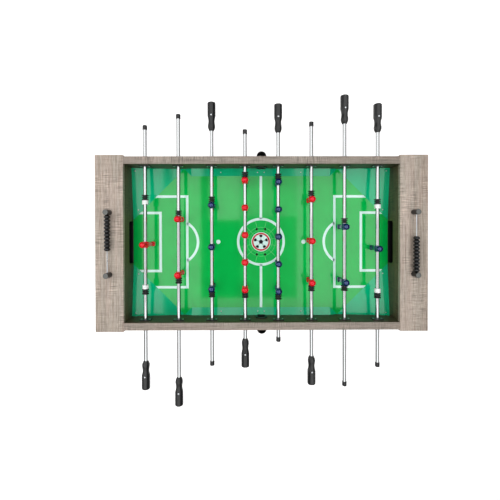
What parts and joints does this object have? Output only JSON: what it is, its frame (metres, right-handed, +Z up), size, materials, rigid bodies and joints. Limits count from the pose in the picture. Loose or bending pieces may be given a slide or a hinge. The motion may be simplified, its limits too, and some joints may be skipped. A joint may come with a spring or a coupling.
{
  "type": "foosball table",
  "caption": "Full-size table football game: laminate cabinet on legs, printed field, sliding spinning rods with players, bead counters and ball entries.",
  "frame": {"origin": "on the floor, under the middle of the cabinet", "axes": "+X along the table, +Y across it towards the side where the blue rods' grips are, +Z up"},
  "size_m": [1.397, 1.337, 0.904],
  "materials": {
    "oak_laminate": "grey oak melamine laminate, matt, fine embossed grain",
    "raw_board": "plain brown hardboard",
    "printed_field": "glossy printed green film on board with white lines",
    "ramp_plastic": "glossy green moulded plastic",
    "black_plastic": "black moulded plastic, satin",
    "black_beads": "black moulded plastic, slightly glossy",
    "black_rubber": "black rubber, matt",
    "white_plastic": "white moulded plastic",
    "red_plastic": "glossy red moulded plastic",
    "blue_plastic": "glossy dark blue moulded plastic",
    "chromed_steel": "bright chrome plate on steel tube",
    "zinc_steel": "bright zinc plate"
  },
  "bodies": {
    "cabinet": {"side_panel_front": "oak_laminate", "side_panel_back": "oak_laminate", "end_panel_left": "oak_laminate", "end_panel_right": "oak_laminate", "top_cap_left": "oak_laminate", "top_cap_right": "oak_laminate", "legs": "oak_laminate", "goal_wall_left": "oak_laminate", "goal_wall_right": "oak_laminate", "playfield": "printed_field", "bottom_panel": "raw_board", "corner_ramps": "ramp_plastic", "side_ramps": "ramp_plastic", "goal_boxes": "black_plastic", "rod_bearings": "black_plastic", "bearing_screws": "zinc_steel", "ball_entry_cups": "black_plastic", "score_posts": "black_plastic", "score_wires": "zinc_steel", "leg_bolts": "zinc_steel"},
    "score_beads_left": {"score_beads_left": "black_beads"},
    "score_beads_right": {"score_beads_right": "black_beads"},
    "leveller_front_left": {"leveller_front_left": "black_plastic"},
    "leveller_front_right": {"leveller_front_right": "black_plastic"},
    "leveller_back_left": {"leveller_back_left": "black_plastic"},
    "leveller_back_right": {"leveller_back_right": "black_plastic"},
    "rod_1_bumpers": {"rod_1_bumpers": "black_rubber"},
    "rod_1": {"rod_1_tube": "chromed_steel", "rod_1_players": "red_plastic", "rod_1_grip": "black_plastic", "rod_1_stop_collars": "white_plastic"},
    "rod_2_bumpers": {"rod_2_bumpers": "black_rubber"},
    "rod_2": {"rod_2_tube": "chromed_steel", "rod_2_players": "red_plastic", "rod_2_grip": "black_plastic"},
    "rod_3_bumpers": {"rod_3_bumpers": "black_rubber"},
    "rod_3": {"rod_3_tube": "chromed_steel", "rod_3_players": "blue_plastic", "rod_3_grip": "black_plastic"},
    "rod_4_bumpers": {"rod_4_bumpers": "black_rubber"},
    "rod_4": {"rod_4_tube": "chromed_steel", "rod_4_players": "red_plastic", "rod_4_grip": "black_plastic"},
    "rod_5_bumpers": {"rod_5_bumpers": "black_rubber"},
    "rod_5": {"rod_5_tube": "chromed_steel", "rod_5_players": "blue_plastic", "rod_5_grip": "black_plastic"},
    "rod_6_bumpers": {"rod_6_bumpers": "black_rubber"},
    "rod_6": {"rod_6_tube": "chromed_steel", "rod_6_players": "red_plastic", "rod_6_grip": "black_plastic"},
    "rod_7_bumpers": {"rod_7_bumpers": "black_rubber"},
    "rod_7": {"rod_7_tube": "chromed_steel", "rod_7_players": "blue_plastic", "rod_7_grip": "black_plastic"},
    "rod_8_bumpers": {"rod_8_bumpers": "black_rubber"},
    "rod_8": {"rod_8_tube": "chromed_steel", "rod_8_players": "blue_plastic", "rod_8_grip": "black_plastic", "rod_8_stop_collars": "white_plastic"}
  },
  "joints": [
    {"name": "score_beads_left_slide", "type": "slide", "parent": "cabinet", "child": "score_beads_left", "axis": [0, 1, 0], "range_m": [-0.0888, 0]},
    {"name": "score_beads_right_slide", "type": "slide", "parent": "cabinet", "child": "score_beads_right", "axis": [0, 1, 0], "range_m": [0, 0.0888]},
    {"name": "leveller_front_left_screw", "type": "slide", "parent": "cabinet", "child": "leveller_front_left", "axis": [0, 0, -1], "range_m": [0, 0.02]},
    {"name": "leveller_front_right_screw", "type": "slide", "parent": "cabinet", "child": "leveller_front_right", "axis": [0, 0, -1], "range_m": [0, 0.02]},
    {"name": "leveller_back_left_screw", "type": "slide", "parent": "cabinet", "child": "leveller_back_left", "axis": [0, 0, -1], "range_m": [0, 0.02]},
    {"name": "leveller_back_right_screw", "type": "slide", "parent": "cabinet", "child": "leveller_back_right", "axis": [0, 0, -1], "range_m": [0, 0.02]},
    {"name": "rod_1_slide", "type": "slide", "parent": "cabinet", "child": "rod_1_bumpers", "axis": [0, 1, 0], "range_m": [-0.1082, 0.1222]},
    {"name": "rod_1_spin", "type": "hinge", "parent": "rod_1_bumpers", "child": "rod_1", "pos_m": [-0.5012, -0.007, 0.824], "axis": [0, 1, 0], "continuous": true},
    {"name": "rod_2_slide", "type": "slide", "parent": "cabinet", "child": "rod_2_bumpers", "axis": [0, 1, 0], "range_m": [-0.1552, 0.1892]},
    {"name": "rod_2_spin", "type": "hinge", "parent": "rod_2_bumpers", "child": "rod_2", "pos_m": [-0.358, -0.017, 0.824], "axis": [0, 1, 0], "continuous": true},
    {"name": "rod_3_slide", "type": "slide", "parent": "cabinet", "child": "rod_3_bumpers", "axis": [0, 1, 0], "range_m": [-0.0957, 0.1297]},
    {"name": "rod_3_spin", "type": "hinge", "parent": "rod_3_bumpers", "child": "rod_3", "pos_m": [-0.2148, -0.017, 0.824], "axis": [0, 1, 0], "continuous": true},
    {"name": "rod_4_slide", "type": "slide", "parent": "cabinet", "child": "rod_4_bumpers", "axis": [0, 1, 0], "range_m": [-0.0922, 0.0242]},
    {"name": "rod_4_spin", "type": "hinge", "parent": "rod_4_bumpers", "child": "rod_4", "pos_m": [-0.0716, 0.034, 0.824], "axis": [0, 1, 0], "continuous": true},
    {"name": "rod_5_slide", "type": "slide", "parent": "cabinet", "child": "rod_5_bumpers", "axis": [0, 1, 0], "range_m": [-0.0847, 0.0317]},
    {"name": "rod_5_spin", "type": "hinge", "parent": "rod_5_bumpers", "child": "rod_5", "pos_m": [0.0716, 0.0265, 0.824], "axis": [0, 1, 0], "continuous": true},
    {"name": "rod_6_slide", "type": "slide", "parent": "cabinet", "child": "rod_6_bumpers", "axis": [0, 1, 0], "range_m": [-0.1207, 0.1047]},
    {"name": "rod_6_spin", "type": "hinge", "parent": "rod_6_bumpers", "child": "rod_6", "pos_m": [0.2148, 0.008, 0.824], "axis": [0, 1, 0], "continuous": true},
    {"name": "rod_7_slide", "type": "slide", "parent": "cabinet", "child": "rod_7_bumpers", "axis": [0, 1, 0], "range_m": [-0.1212, 0.2232]},
    {"name": "rod_7_spin", "type": "hinge", "parent": "rod_7_bumpers", "child": "rod_7", "pos_m": [0.358, -0.051, 0.824], "axis": [0, 1, 0], "continuous": true},
    {"name": "rod_8_slide", "type": "slide", "parent": "cabinet", "child": "rod_8_bumpers", "axis": [0, 1, 0], "range_m": [-0.0892, 0.1412]},
    {"name": "rod_8_spin", "type": "hinge", "parent": "rod_8_bumpers", "child": "rod_8", "pos_m": [0.5012, -0.026, 0.824], "axis": [0, 1, 0], "continuous": true}
  ]
}
